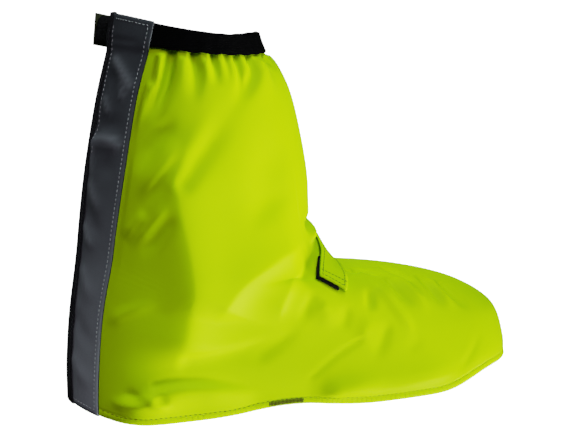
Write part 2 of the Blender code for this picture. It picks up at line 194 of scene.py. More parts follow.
YELLOW = (0.37, 0.60, 0.001, 1)
YELLOW_DEEP = (0.34, 0.56, 0.001, 1)
OLIVE = (0.12, 0.16, 0.002, 1)
HEM_DEPTH, HEM_TICK_PITCH, HEM_TICK_MARGIN, HEM_REACH = 4.3, 3.4, 0.6, 12.0
coated, shader, nodes = finish("coated_yellow_fabric", {"Specular IOR Level": 0.07})
place = nodes.node("ShaderNodeTexCoord", output="Object")
cloud = nodes.node("ShaderNodeTexNoise", inputs={"Vector": place, "Scale": 28.0, "Detail": 3.0})
grain = nodes.node("ShaderNodeTexNoise", inputs={"Vector": place, "Scale": 1100.0, "Detail": 2.0})
hem_height = nodes.node("ShaderNodeAttribute", {"attribute_name": "hem_height"}, output="Fac")
hem_run = nodes.node("ShaderNodeAttribute", {"attribute_name": "hem_run"}, output="Fac")
from_middle = nodes.math("ABSOLUTE", hem_height - HEM_DEPTH / 2)
in_hem = nodes.math("LESS_THAN", from_middle, HEM_DEPTH / 2 - HEM_TICK_MARGIN)
wave = nodes.math("SINE", hem_run * (2 * math.pi / HEM_TICK_PITCH))
tick = in_hem * nodes.math("MAXIMUM", (wave - 0.3) * 1.4, 0.0)
groove_and_painted_shade = nodes.math("MAXIMUM", 1 - nodes.math("ABSOLUTE", hem_height - HEM_DEPTH) * 0.8, 0.0)
patchy = nodes.node("ShaderNodeTexNoise", inputs={"Vector": place, "Scale": 45.0, "Detail": 2.0})
tick = tick * nodes.math("MAXIMUM", patchy * 2.4 - 0.85, 0.0)
fabric = nodes.mix(cloud, YELLOW, YELLOW_DEEP)
# The base colour turns olive on the hem's ticks, and darker along the stitch groove as painted shade.
nodes.feed(shader.inputs["Base Color"], nodes.mix(tick * 0.4 + groove_and_painted_shade * 0.08, fabric, OLIVE))
nodes.feed(shader.inputs["Roughness"], 0.42 + cloud * 0.12)
relief = grain * 0.02 - groove_and_painted_shade * 0.2 - tick * 0.2
bump = nodes.node("ShaderNodeBump", inputs={"Strength": 0.8, "Distance": MM, "Height": relief})
nodes.feed(shader.inputs["Normal"], bump)

KNIT_PALE, KNIT_DARK = (0.50, 0.62, 0.10, 1), (0.34, 0.44, 0.05, 1)
lining, shader, nodes = finish("knit_backing", {"Roughness": 0.9, "Sheen Weight": 0.2})
place = nodes.node("ShaderNodeTexCoord", output="Object")
knit = nodes.node("ShaderNodeTexVoronoi", inputs={"Vector": place, "Scale": 900.0})
nodes.feed(shader.inputs["Base Color"], nodes.mix(knit, KNIT_PALE, KNIT_DARK))
bump = nodes.node("ShaderNodeBump", inputs={"Strength": 0.5, "Distance": 0.2 * MM, "Height": knit})
nodes.feed(shader.inputs["Normal"], bump)

OUTER_FACE, EDGE_FACE, LINING_FACE = 0, 1, 2
CORNER = math.radians(50)


def faced(piece, outside, edges, rank):
    """Gives a piece in edit mode one material on its outer face and another elsewhere.

    The outer face is the smooth region round the face that ranks lowest.
    """
    piece.data.materials.append(outside)
    piece.data.materials.append(edges)
    crease_corners(CORNER)
    for face in bmesh.from_edit_mesh(piece.data).faces:
        face.material_index = EDGE_FACE
    flood_face(piece, rank, OUTER_FACE, CORNER)


TOWARDS_CAMERA, RANKED_LAST = -0.7, 1.0
upper = copied("upper", "upper_shell")
faced(upper, coated, coated, lambda face: face.calc_center_median().y)
upper.data.materials.append(lining)
flood_face(
    upper, lambda face: -face.calc_center_median().y if face.normal.y < TOWARDS_CAMERA else RANKED_LAST,
    LINING_FACE, CORNER,
)
rounded(upper, 1)
subdivided(upper, OUTER_FACE, 2)
subdivided(upper, LINING_FACE, 1)

# Folds are soft ridges, of positive height, and troughs along a path over one view of the upper. Each row
# gives the path's places along the foot, or across it in the front and back views, and above the floor. Then
# come the height, the half width at its two ends, and the shares of its length over which it rises and dies
# away. A lean over 1 makes it wider on its left, as one walks along it outside, and steeper on its right. A
# power of 2 rounds its crest, and one near 1 makes the crest a crisp line. Sizes are millimetres.
Fold = namedtuple("Fold", "view path height start_width end_width rise fall lean power", defaults=(1.0, 2.0))
GATHERS = [
    Fold("outer", [(60, 231), (58.5, 222), (55, 208), (50, 194), (45.5, 183)], -4.2, 2.4, 3.6, 0.02, 0.6),
    Fold("outer", [(54.5, 231), (53, 221), (50, 209), (45, 196)], 2.8, 2.4, 3.0, 0.02, 0.6),
    Fold("outer", [(65, 231), (64.5, 220), (63, 208), (60, 196)], 1.0, 3.2, 4.5, 0.02, 0.6),
    Fold("outer", [(70.5, 231), (71, 222), (72, 213), (71, 203), (68, 192)], -3.2, 2.6, 4.5, 0.02, 0.6),
    Fold("outer", [(76.5, 231), (77, 222), (78.5, 212), (78, 203)], 1.0, 2.5, 3.5, 0.02, 0.6),
    Fold("outer", [(81.5, 231), (82.5, 222), (84, 211), (84.5, 203)], -2.8, 2.0, 3.2, 0.02, 0.6),
    Fold("outer", [(86, 230), (86.5, 222), (88.5, 212)], 0.8, 2.0, 2.6, 0.02, 0.7),
    Fold("outer", [(90, 230), (90.5, 222), (92, 212), (92, 205)], -1.5, 1.8, 2.6, 0.02, 0.7),
    Fold("outer", [(97, 230), (97.5, 222), (99.5, 211), (99, 203), (96, 195)], -2.8, 2.0, 3.2, 0.02, 0.6),
    Fold("outer", [(101.5, 229), (102, 222), (104, 212)], 0.9, 2.0, 3.0, 0.02, 0.7),
    Fold("outer", [(106, 229), (107, 221), (109.5, 212), (105, 204), (98, 196), (86, 182)],
         -3.0, 2.2, 6.0, 0.02, 0.5),
    Fold("outer", [(101, 200), (86, 182), (73, 165), (64, 152), (58, 144)], -2.2, 9.0, 5.0, 0.45, 0.15),
    Fold("outer", [(89, 196), (76, 179), (64, 163), (57, 150), (54, 143)], 1.6, 8.0, 6.0, 0.4, 0.4),
    Fold("outer", [(111, 228), (116, 214), (115, 204), (112, 190)], 1.6, 4.0, 9.0, 0.02, 0.5),
    Fold("outer", [(118, 227), (123, 216), (127, 204), (131, 192)], -1.6, 3.0, 6.0, 0.02, 0.6),
    Fold("front", [(-20, 224), (-22, 208)], -1.8, 2.0, 4.0, 0.02, 0.8),
    Fold("front", [(-8, 222), (-7, 204)], 1.4, 3.0, 4.5, 0.02, 0.8),
    Fold("front", [(2, 222), (4, 206)], -2.0, 1.8, 4.0, 0.02, 0.8),
    Fold("front", [(13, 222), (14, 204)], 1.3, 2.6, 4.0, 0.02, 0.8),
    Fold("front", [(22, 224), (25, 206)], -2.0, 1.8, 4.0, 0.02, 0.8),
    Fold("inner", [(112, 226), (110, 210)], 1.4, 2.4, 4.0, 0.02, 0.8),
    Fold("inner", [(105, 228), (102, 208), (94, 192)], -2.6, 1.7, 4.5, 0.02, 0.7),
    Fold("inner", [(96, 229), (95, 212)], 1.4, 2.4, 3.6, 0.02, 0.8),
    Fold("inner", [(88, 230), (90, 213)], -2.2, 1.6, 3.4, 0.02, 0.8),
    Fold("inner", [(81, 230), (80, 212)], 1.4, 2.6, 4.0, 0.02, 0.8),
    Fold("inner", [(74, 231), (76, 214), (80, 200)], -2.5, 1.6, 4.0, 0.02, 0.8),
    Fold("inner", [(66, 231), (64, 212)], 1.6, 2.8, 4.2, 0.02, 0.8),
    Fold("inner", [(59, 231), (55, 213), (50, 199)], -2.4, 1.6, 4.0, 0.02, 0.8),
    Fold("inner", [(51, 231), (50, 215)], 1.4, 2.0, 3.4, 0.02, 0.8),
    Fold("inner", [(45, 232), (41, 214)], -2.0, 1.8, 4.0, 0.02, 0.8),
]
LEG_FOLDS = [
    Fold("outer", [(59, 182), (58, 166), (58, 150), (61, 129), (64, 114), (66, 100), (67, 86), (66, 74),
                   (64, 60), (58, 32)], 6.5, 22.0, 20.0, 0.3, 0.08, 1.1, 1.5),
    Fold("outer", [(124, 184), (120, 158), (115, 135), (110, 116)], -3.0, 15.0, 15.0, 0.4, 0.4),
    Fold("outer", [(48, 208), (46, 203), (42, 193), (37, 182), (31, 168)], 1.7, 3.0, 3.5, 0.2, 0.3),
    Fold("outer", [(60, 190), (52, 178), (44, 166), (36, 152)], -2.1, 5.0, 5.0, 0.45, 0.4),
    Fold("outer", [(60, 177), (52.5, 163), (44.5, 150), (37, 138)], 1.5, 4.5, 4.5, 0.3, 0.4),
    Fold("outer", [(63, 168), (56, 156), (47, 143), (40, 132)], -1.2, 4.0, 4.0, 0.3, 0.4),
    Fold("outer", [(42, 132.5), (35.5, 123.5), (28.5, 113.5)], 1.5, 3.5, 3.5, 0.3, 0.4),
    Fold("outer", [(54, 138), (47, 128), (40, 118), (32, 109)], 1.3, 3.5, 3.5, 0.3, 0.4),
    Fold("outer", [(58, 132), (52, 122), (45, 112), (37, 103)], -1.1, 4.0, 4.0, 0.3, 0.4),
    Fold("outer", [(142, 142), (125, 135), (110, 127), (97, 112)], -0.8, 6.0, 7.0, 0.4, 0.4),
    Fold("inner", [(84, 184), (70, 160), (62, 140)], 2.4, 6.0, 5.0, 0.5, 0.3),
    Fold("inner", [(96, 178), (82, 156), (72, 138)], -2.2, 5.0, 6.0, 0.5, 0.4),
    Fold("inner", [(60, 178), (48, 158), (40, 136)], -2.2, 6.0, 6.0, 0.4, 0.5),
    Fold("inner", [(66, 132), (68, 112), (66, 90)], 2.2, 9.0, 9.0, 0.3, 0.4),
    Fold("inner", [(46, 126), (34, 108), (28, 96)], 1.6, 4.5, 4.5, 0.4, 0.5),
]
ANKLE_FOLDS = [
    Fold("outer", [(153, 106), (137, 103.5), (124, 100), (111, 93.5), (99, 86.5), (91, 78.5),
                   (85, 69.5), (82, 60)], 6.5, 17.0, 21.0, 0.25, 0.2, 0.8, 1.35),
    Fold("outer", [(145, 90), (138, 87), (131, 81), (126, 73), (123, 65), (121, 54)],
         2.4, 7.0, 9.0, 0.3, 0.3, 0.62, 1.4),
    Fold("outer", [(150, 76), (142, 66), (137, 54)], -1.2, 4.0, 4.5, 0.3, 0.4),
    Fold("outer", [(150, 68), (155, 60), (153, 47)], 1.0, 5.0, 6.0, 0.3, 0.5),
    Fold("outer", [(56, 41), (72, 40), (88, 41), (104, 43), (126, 49)], -1.8, 5.0, 6.0, 0.15, 0.3, 0.7),
    Fold("outer", [(103, 33), (113, 39), (127, 48), (140, 57)], -0.8, 4.5, 5.0, 0.3, 0.4),
    Fold("front", [(-27, 113), (-10, 115), (10, 115), (27, 113)], -2.4, 3.0, 3.0, 0.1, 0.1),
    Fold("front", [(-27, 105), (-10, 107), (10, 107), (27, 105)], 5.0, 4.5, 4.5, 0.1, 0.1),
    Fold("inner", [(155, 106), (140, 103), (122, 94), (104, 81)], 4.2, 10.0, 12.0, 0.1, 0.35, 1.25, 1.3),
    Fold("inner", [(146, 86), (136, 74), (130, 58)], 2.4, 7.0, 8.0, 0.2, 0.3, 1.0, 1.3),
]
HEEL_FOLDS = [
    Fold("outer", [(25, 21), (31, 19), (37, 17.5)], -1.5, 3.0, 3.0, 0.4, 0.4),
    Fold("outer", [(43, 18), (47, 16.5), (52, 15)], -1.3, 2.8, 2.8, 0.4, 0.4),
    Fold("outer", [(18, 17), (24, 14), (33, 12.5), (43, 11)], 1.2, 3.2, 3.4, 0.4, 0.4),
    Fold("outer", [(40, 21), (41, 16), (47, 12), (55, 10)], 1.3, 2.3, 2.7, 0.2, 0.4),
    Fold("outer", [(40, 23), (50, 26), (62, 26.5), (78, 25), (97, 20.5), (113, 16)],
         -1.8, 3.0, 3.0, 0.1, 0.4),
    Fold("outer", [(16, 9), (28, 11), (39, 14), (48, 17), (58, 19), (70, 19), (82, 17), (97, 13), (110, 10)],
         4.2, 8.0, 9.0, 0.3, 0.3, 0.9),
    Fold("outer", [(18, 62), (26, 68), (36, 73), (48, 77)], 1.0, 4.0, 4.0, 0.3, 0.4),
    Fold("inner", [(30, 18), (48, 25), (70, 25), (96, 18)], -1.8, 4.0, 3.5, 0.3, 0.3),
    Fold("inner", [(26, 40), (44, 50), (58, 62)], 1.6, 6.0, 6.0, 0.4, 0.5),
    Fold("inner", [(46, 12), (68, 11), (90, 10), (116, 8)], 2.4, 7.0, 6.0, 0.4, 0.3, 0.7),
]
FOOT_FOLDS = [
    Fold("outer", [(140, 9), (165, 10), (200, 10), (230, 12), (252, 15)], 1.8, 7.0, 6.5, 0.2, 0.3, 1.5),
    Fold("outer", [(148, 10), (165, 11), (182, 11), (198, 10)], 2.2, 6.0, 6.0, 0.3, 0.6, 1.2),
    Fold("outer", [(181, 42.5), (170, 38), (157, 31), (140, 19), (126, 10)], -0.7, 1.5, 2.0, 0.1, 0.5),
    Fold("outer", [(176, 81), (183, 80), (188, 80), (196, 78), (204, 75.5)], -2.8, 2.3, 2.6, 0.05, 0.3),
    Fold("outer", [(206, 79), (214, 76), (219, 73), (226, 69.5)], -2.4, 2.4, 3.0, 0.15, 0.35),
    Fold("outer", [(203, 76), (208, 69), (213, 63), (220, 57)], -2.0, 2.4, 2.6, 0.15, 0.4),
    Fold("outer", [(213, 75), (219, 68), (226, 60), (232, 51)], 2.0, 3.8, 4.4, 0.15, 0.5),
    Fold("outer", [(232, 72), (235, 67), (239, 60), (245, 53)], -2.0, 2.4, 2.8, 0.15, 0.4),
    Fold("outer", [(239, 70), (243, 64), (248, 57), (254, 50)], 1.6, 3.0, 3.6, 0.15, 0.5),
    Fold("outer", [(247, 67), (253, 60), (260, 54), (267, 50)], -1.8, 3.0, 3.6, 0.15, 0.4),
    Fold("outer", [(188, 73), (186.5, 65), (187, 57)], -1.7, 3.3, 3.3, 0.4, 0.4),
    Fold("outer", [(193, 74), (199, 67), (206, 57), (213, 47), (218, 39)], 1.5, 3.5, 4.0, 0.2, 0.4),
    Fold("outer", [(199, 52), (195, 43), (190, 34), (183, 28)], -1.0, 4.0, 4.5, 0.3, 0.5),
    Fold("outer", [(186, 57), (181, 46), (175, 36)], 0.9, 5.0, 5.5, 0.4, 0.5),
    Fold("outer", [(168, 66), (168, 57), (164, 47)], -0.9, 4.0, 4.5, 0.4, 0.4),
    Fold("outer", [(272, 36), (264, 26), (257, 19), (248, 11)], -0.6, 2.4, 3.2, 0.3, 0.3),
    Fold("outer", [(208, 31), (216, 34), (225, 37)], -0.5, 4.0, 4.0, 0.4, 0.4),
    Fold("inner", [(176, 78), (190, 74), (204, 64)], -1.6, 3.0, 4.0, 0.2, 0.5),
    Fold("inner", [(184, 66), (194, 52), (198, 38)], 1.6, 4.5, 5.0, 0.3, 0.4),
    Fold("inner", [(212, 72), (222, 60), (224, 46)], -1.6, 4.5, 5.0, 0.3, 0.5),
    Fold("inner", [(232, 66), (240, 54), (242, 40)], 1.4, 4.5, 5.0, 0.3, 0.5),
    Fold("inner", [(186, 40), (164, 28), (140, 12)], -1.1, 2.4, 3.0, 0.2, 0.3),
    Fold("inner", [(262, 40), (256, 26), (246, 12)], 1.2, 3.0, 3.5, 0.3, 0.2),
    Fold("inner", [(142, 8), (180, 8), (220, 8), (250, 10)], 1.6, 6.0, 6.0, 0.2, 0.2, 0.7),
]
PATH_STEPS = 10
FOLD_REACH = 3.5
VIEWS = {
    "outer": Vector((0, 1, 0)), "inner": Vector((0, -1, 0)),
    "front": Vector((-1, 0, 0)), "back": Vector((1, 0, 0)),
}
VIEW_DISTANCE = 400


def search_tree(piece):
    """Search tree of a piece's mesh, for places on its surface."""
    corners = [vertex.co for vertex in piece.data.vertices]
    return BVHTree.FromPolygons(corners, [list(face.vertices) for face in piece.data.polygons])


def seen_place(tree, view, along, up):
    """The place on a piece that shows in one view."""
    look = VIEWS[view]
    flat = Vector((0, along, up)) if look.x else Vector((along, 0, up))
    spot = tree.ray_cast(heel + (flat - look * VIEW_DISTANCE) * MM, look)[0]
    assert spot is not None, f"nothing in the {view} view at {along}, {up}"
    return spot


def smooth_path(points, steps):
    """Points along a Catmull-Rom curve through the given ones."""
    points = [np.array(point) for point in points]
    padded = [2 * points[0] - points[1]] + points + [2 * points[-1] - points[-2]]
    path = []
    for before, start, end, after in zip(padded, padded[1:], padded[2:], padded[3:]):
        for step in range(steps):
            t = step / steps
            path.append(
                start
                + 0.5 * t * (end - before)
                + t * t * (before - 2.5 * start + 2 * end - 0.5 * after)
                + 0.5 * t ** 3 * (3 * start - 3 * end + after - before)
            )
    path.append(points[-1])
    return np.array(path)


def smoothstep(share):
    share = np.clip(share, 0.0, 1.0)
    return share * share * (3 - 2 * share)


def fold_heights(fold, tree, points, depths):
    """How far one fold moves each point outwards, in metres. Depths are below the outer face."""
    path = smooth_path([seen_place(tree, fold.view, *place) for place in fold.path], PATH_STEPS)
    normals = np.array([tree.find_nearest(spot)[1] for spot in path])
    steps = np.gradient(path, axis=0)
    lefts = np.cross(normals, steps)
    spread = max(fold.lean, 1 / fold.lean)
    reach = FOLD_REACH * max(fold.start_width, fold.end_width) * spread * MM
    near = np.all((points > path.min(0) - reach) & (points < path.max(0) + reach), axis=1)
    gaps = np.linalg.norm(points[near][:, None] - path[None], axis=2)
    closest = gaps.argmin(axis=1)
    offsets, step = points[near] - path[closest], steps[closest]
    past = np.sum(offsets * step, axis=1) / np.sum(step * step, axis=1)
    along = np.clip((closest + past) / (len(path) - 1), 0, 1)
    slip = (along * (len(path) - 1) - closest)[:, None] * step
    gap = np.sqrt(np.maximum(np.sum((offsets - slip) ** 2, axis=1) - depths[near] ** 2, 0))
    on_left = np.sum(offsets * lefts[closest], axis=1) > 0
    width = (fold.start_width + (fold.end_width - fold.start_width) * along) * MM
    width = width * np.where(on_left, fold.lean, 1 / fold.lean)
    height = fold.height * MM * np.exp(-(gap / width) ** fold.power)
    heights = np.zeros(len(points))
    heights[near] = height * smoothstep(along / fold.rise) * smoothstep((1 - along) / fold.fall)
    return heights


def mesh_points(piece):
    points = np.zeros(len(piece.data.vertices) * 3, np.float32)
    piece.data.vertices.foreach_get("co", points)
    return points.reshape(-1, 3).astype(float)


def set_points(piece, points):
    piece.data.vertices.foreach_set("co", points.astype(np.float32).ravel())
    piece.data.update()


def vertex_normals(piece):
    normals = np.zeros(len(piece.data.vertices) * 3, np.float32)
    piece.data.vertex_normals.foreach_get("vector", normals)
    return normals.reshape(-1, 3).astype(float)


def slot_vertices(piece, slot):
    """Which vertices of a piece belong to the faces of one material slot."""
    found = np.zeros(len(piece.data.vertices), bool)
    for face in piece.data.polygons:
        if face.material_index == slot:
            found[list(face.vertices)] = True
    return found


def clear_of(node, points, start, end):
    """0 for points closer to a frame node than start, rising to 1 at end, in millimetres."""
    tree = search_tree(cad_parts[node])
    gaps = np.array([tree.find_nearest(Vector(point))[3] for point in points])
    return smoothstep((gaps - start * MM) / ((end - start) * MM))


# Folds die away, between two distances in millimetres, towards the pieces that are sewn flat to the upper.
# Below the collar band only ridges do.
FOLD_CLEARANCES = [
    ("back_strip", 1.2, 5), ("back_edge_tape", 1.2, 5), ("instep_strap", 2.5, 14),
    ("instep_strap_hook", 2.5, 14), ("underfoot_strap", 2.5, 8),
]
BAND_CLEARANCE = (1.5, 5)
DEEPEST_LINING, RAY_LIFT = 2.5, 0.1
tree = search_tree(upper)
points = mesh_points(upper)
lined = slot_vertices(upper, LINING_FACE)
outward = vertex_normals(upper) * np.where(lined, -1, 1)[:, None]
depths = np.zeros(len(points))
depths[lined] = [tree.ray_cast(Vector(spot + way * RAY_LIFT * MM), Vector(way))[3] or 0.0
                 for spot, way in zip(points[lined], outward[lined])]
depths = np.minimum(depths, DEEPEST_LINING * MM)
heights = np.zeros(len(points))
for fold in GATHERS + LEG_FOLDS + ANKLE_FOLDS + HEEL_FOLDS + FOOT_FOLDS:
    heights += fold_heights(fold, tree, points, depths)
for node, start, end in FOLD_CLEARANCES:
    heights *= clear_of(node, points, start, end)
heights *= smoothstep(points[:, 2] / (HEM_DEPTH * MM))
heights = np.where(heights > 0, heights * clear_of("collar_band", points, *BAND_CLEARANCE), heights)
set_points(upper, points + outward * heights[:, None])


def rims(piece, slot):
    """Border lines of a slot's faces, as lists of places with the way in from the border over the face."""
    shape = bmesh.new()
    shape.from_mesh(piece.data)
    ways = {}
    corners = {}
    for edge in shape.edges:
        faces = [face for face in edge.link_faces if face.material_index == slot]
        if len(faces) == 1:
            run = (edge.verts[1].co - edge.verts[0].co).normalized()
            middle = (edge.verts[0].co + edge.verts[1].co) / 2
            way = faces[0].calc_center_median() - middle
            ways[edge] = (middle, (way - run * way.dot(run)).normalized())
            for corner in edge.verts:
                corners.setdefault(corner, []).append(edge)
    lines = []
    while ways:
        edge = next(iter(ways))
        corner = edge.verts[0]
        line = []
        while edge in ways:
            line.append(ways.pop(edge))
            corner = edge.other_vert(corner)
            edge = next((other for other in corners[corner] if other in ways), edge)
        lines.append((np.array([spot for spot, way in line]), np.array([way for spot, way in line])))
    shape.free()
    return lines


upper_rims = sorted(rims(upper, OUTER_FACE), key=lambda line: line[0][:, 2].mean())
hem_spots, hem_ways = upper_rims[0]
hem_start = hem_spots[:, 0].argmin()
hem_spots, hem_ways = np.roll(hem_spots, -hem_start, axis=0), np.roll(hem_ways, -hem_start, axis=0)
hem_runs = np.concatenate([[0], np.cumsum(np.linalg.norm(np.diff(hem_spots, axis=0), axis=1))])
UNHEMMED = 100.0
points = mesh_points(upper)
hem_height, hem_run = np.full(len(points), UNHEMMED), np.zeros(len(points))
low = np.flatnonzero(~lined & (points[:, 2] < hem_spots[:, 2].max() + HEM_REACH * MM))
gaps = np.linalg.norm(points[low][:, None] - hem_spots[None], axis=2)
hem_height[low], hem_run[low] = gaps.min(axis=1) / MM, hem_runs[gaps.argmin(axis=1)] / MM
for name, values in (("hem_height", hem_height), ("hem_run", hem_run)):
    attribute = upper.data.attributes.new(name, "FLOAT", "POINT")
    attribute.data.foreach_set("value", values.astype(np.float32))
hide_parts("upper")
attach(upper, "root")

# Hem seam
# The lower edge is turned in and sewn with one row of olive thread, which is yellower round the front. Where
# the strap under the foot ends, a dense bar of brown stitches holds it to the hem on each side.
bpy.ops.object.select_all(action="DESELECT")
bpy.ops.mesh.primitive_uv_sphere_add(segments=6, ring_count=4, radius=0.5, rotation=(0, math.pi / 2, 0))
stitch = bpy.context.object
bpy.ops.object.transform_apply(rotation=True)
STITCH_SHAPE = mesh_points(stitch)
STITCH_FACES = [list(face.vertices) for face in stitch.data.polygons]
bpy.data.objects.remove(stitch)


def spaced(spots, pitch):
    """Evenly spaced places on a line of spots, and the ways along it there."""
    runs = np.concatenate([[0], np.cumsum(np.linalg.norm(np.diff(spots, axis=0), axis=1))])
    steps = np.arange(0, runs[-1], pitch * MM)
    places = np.stack([np.interp(steps, runs, spots[:, axis]) for axis in range(3)], axis=1)
    return places, np.gradient(places, axis=0)


def on_surface(piece, places, alongs):
    """Places laid on a piece, with the ways along and the outward normals there."""
    tree = search_tree(piece)
    found = [tree.find_nearest(Vector(place)) for place in places]
    return np.array([spot[0] for spot in found]), alongs, np.array([spot[1] for spot in found])


CLEAR_SHARE = 0.9


def seam(piece, line, inset, pitch, keep=None):
    """Places of stitches at an even pitch, inset from a border of a piece, in corners too."""
    border, ways = line
    spots = border + ways * inset * MM
    gaps = np.linalg.norm(spots[:, None] - border[None], axis=2).min(axis=1)
    spots = spots[gaps > CLEAR_SHARE * inset * MM]
    places, alongs = spaced(np.concatenate([spots, spots[:1]]), pitch)
    if keep is not None:
        kept = keep((places - np.array(heel)) / MM)
        places, alongs = places[kept], alongs[kept]
    return on_surface(piece, places, alongs)


def seam_across(piece, view, path, pitch):
    """Places of stitches at an even pitch along a path that shows in one view of a piece."""
    tree = search_tree(piece)
    spots = smooth_path([seen_place(tree, view, *place) for place in path], PATH_STEPS)
    return on_surface(piece, *spaced(spots, pitch))


def unit(vectors):
    return vectors / np.linalg.norm(vectors, axis=1)[:, None]


def stitches(name, seams, size, turn, material):
    """One mesh of like stitches of a length, width and height on a list of seams, turned from the seam."""
    shape = STITCH_SHAPE * np.array(size) * MM
    places, alongs, normals = (np.concatenate(parts) for parts in zip(*seams))
    normals = unit(normals)
    alongs = unit(alongs - normals * np.sum(alongs * normals, axis=1)[:, None])
    acrosses = np.cross(normals, alongs)
    longs = alongs * math.cos(turn) + acrosses * math.sin(turn)
    wides = np.cross(normals, longs)
    corners = (
        places[:, None]
        + shape[None, :, :1] * longs[:, None]
        + shape[None, :, 1:2] * wides[:, None]
        + shape[None, :, 2:] * normals[:, None]
    )
    count = len(STITCH_SHAPE)
    firsts = range(0, count * len(places), count)
    faces = [[first + corner for corner in face] for first in firsts for face in STITCH_FACES]
    mesh = bpy.data.meshes.new(name)
    mesh.from_pydata(corners.reshape(-1, 3).tolist(), [], faces)
    mesh.shade_smooth()
    row = bpy.data.objects.new(name, mesh)
    bpy.context.scene.collection.objects.link(row)
    mesh.materials.append(material)
    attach(row, "root")
    return row


def thread(name, dark, light):
    """Twisted sewing thread between two colours."""
    material, shader, nodes = finish(name, {"Roughness": 0.7, "Specular IOR Level": 0.15})
    place = nodes.node("ShaderNodeTexCoord", output="Object")
    twist = nodes.node("ShaderNodeTexNoise", inputs={"Vector": place, "Scale": 1500.0, "Detail": 2.0})
    nodes.feed(shader.inputs["Base Color"], nodes.mix(twist, dark, light))
    bump = nodes.node("ShaderNodeBump", inputs={"Strength": 0.6, "Distance": 0.1 * MM, "Height": twist})
    nodes.feed(shader.inputs["Normal"], bump)
    return material


BAR_LOW, BAR_HIGH, BAR_INSET, BAR_PITCH = 116, 138, 2.4, 0.9
BAR_STITCH, BAR_TURN = (3.6, 0.8, 0.6), math.radians(84)
HEM_PITCH, HEM_STITCH = 3.1, (1.9, 0.45, 0.4)
STRIP_FOOT_END, STRIP_FOOT_FAR = 14, 19
hem_thread = thread("olive_thread", (0.06, 0.075, 0.004, 1), (0.16, 0.19, 0.01, 1))
bar_thread = thread("brown_thread", (0.012, 0.012, 0.003, 1), (0.10, 0.09, 0.012, 1))
front_thread = thread("yellow_olive_thread", (0.16, 0.23, 0.004, 1), (0.27, 0.40, 0.006, 1))
hem_line = (hem_spots, hem_ways)
stitches(
    "hem_stitches",
    [seam(upper, hem_line, HEM_DEPTH, HEM_PITCH, lambda spot: (
        ((spot[:, 0] > STRIP_FOOT_END) | (spot[:, 1] > STRIP_FOOT_FAR)) & (spot[:, 0] < BAR_HIGH)
    ))],
    HEM_STITCH, 0.0, hem_thread,
)
stitches(
    "hem_front_stitches",
    [seam(upper, hem_line, HEM_DEPTH, HEM_PITCH, lambda spot: spot[:, 0] > BAR_HIGH)],
    HEM_STITCH, 0.0, front_thread,
)
stitches(
    "hem_bar_stitches",
    [seam(upper, hem_line, BAR_INSET, BAR_PITCH, lambda spot: (
        (spot[:, 0] > BAR_LOW) & (spot[:, 0] < BAR_HIGH)
    ))],
    BAR_STITCH, BAR_TURN, bar_thread,
)

# Collar band
# Black ribbed elastic, sewn round the collar in one ring, which gathers the fabric below it. It is turned
# over the fabric's edge, so the edge and the top of the lining are elastic too.
ELASTIC_DARK, ELASTIC_PALE = (0.0003, 0.0003, 0.0004, 1), (0.0018, 0.0018, 0.002, 1)
elastic, shader, nodes = finish("black_ribbed_elastic", {"Specular IOR Level": 0.04})
place = nodes.node("ShaderNodeTexCoord", output="Object")
ribs = nodes.node(
    "ShaderNodeTexWave", {"bands_direction": "Z"},
    {"Vector": place, "Scale": 300.0, "Distortion": 1.5, "Detail": 1.0},
)
fuzz = nodes.node("ShaderNodeTexNoise", inputs={"Vector": place, "Scale": 900.0, "Detail": 3.0})
nodes.feed(shader.inputs["Base Color"], nodes.mix(fuzz, ELASTIC_DARK, ELASTIC_PALE))
nodes.feed(shader.inputs["Roughness"], 0.75 + fuzz * 0.2)
bump = nodes.node(
    "ShaderNodeBump", inputs={"Strength": 0.7, "Distance": 0.3 * MM, "Height": ribs * 0.7 + fuzz * 0.4}
)
nodes.feed(shader.inputs["Normal"], bump)

COLLAR_RADIUS, PUCKER_PITCH, PUCKER_HEIGHT, SCALLOP = 44, 9.0, 0.25, 0.25
PUCKER_START, PUCKER_GROWTH = 4, 18
band = copied("collar_band", "elastic_collar_band")
band.data.materials.append(elastic)
crease_corners(CORNER)
rounded(band, 2)
points = mesh_points(band)
centre = np.array([points[:, 0].mean(), heel.y])
turns = np.arctan2(points[:, 1] - centre[1], points[:, 0] - centre[0])
ring = np.round(2 * math.pi * COLLAR_RADIUS / PUCKER_PITCH)
pucker = np.sin(turns * ring + 1.5 * np.sin(turns * 5)) * (0.6 + 0.4 * np.sin(turns * 7 + 1))
below_top = (points[:, 2].max() - points[:, 2]) / MM
low_share = smoothstep((below_top - PUCKER_START) / PUCKER_GROWTH)
away = np.stack([np.cos(turns), np.sin(turns), np.zeros(len(turns))], axis=1)
points += away * (pucker * low_share * PUCKER_HEIGHT * MM)[:, None]
points[:, 2] += np.sin(turns * ring * 0.7 + 2) * low_share * SCALLOP * MM
set_points(band, points)
TURNED_DEPTH, TURNED_SLOT = 14.0, 3
upper.data.materials.append(elastic)
for face in upper.data.polygons:
    if face.material_index != OUTER_FACE and face.center.z > upper_high.z - TURNED_DEPTH * MM:
        face.material_index = TURNED_SLOT
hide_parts("collar_band")
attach(band, "root")
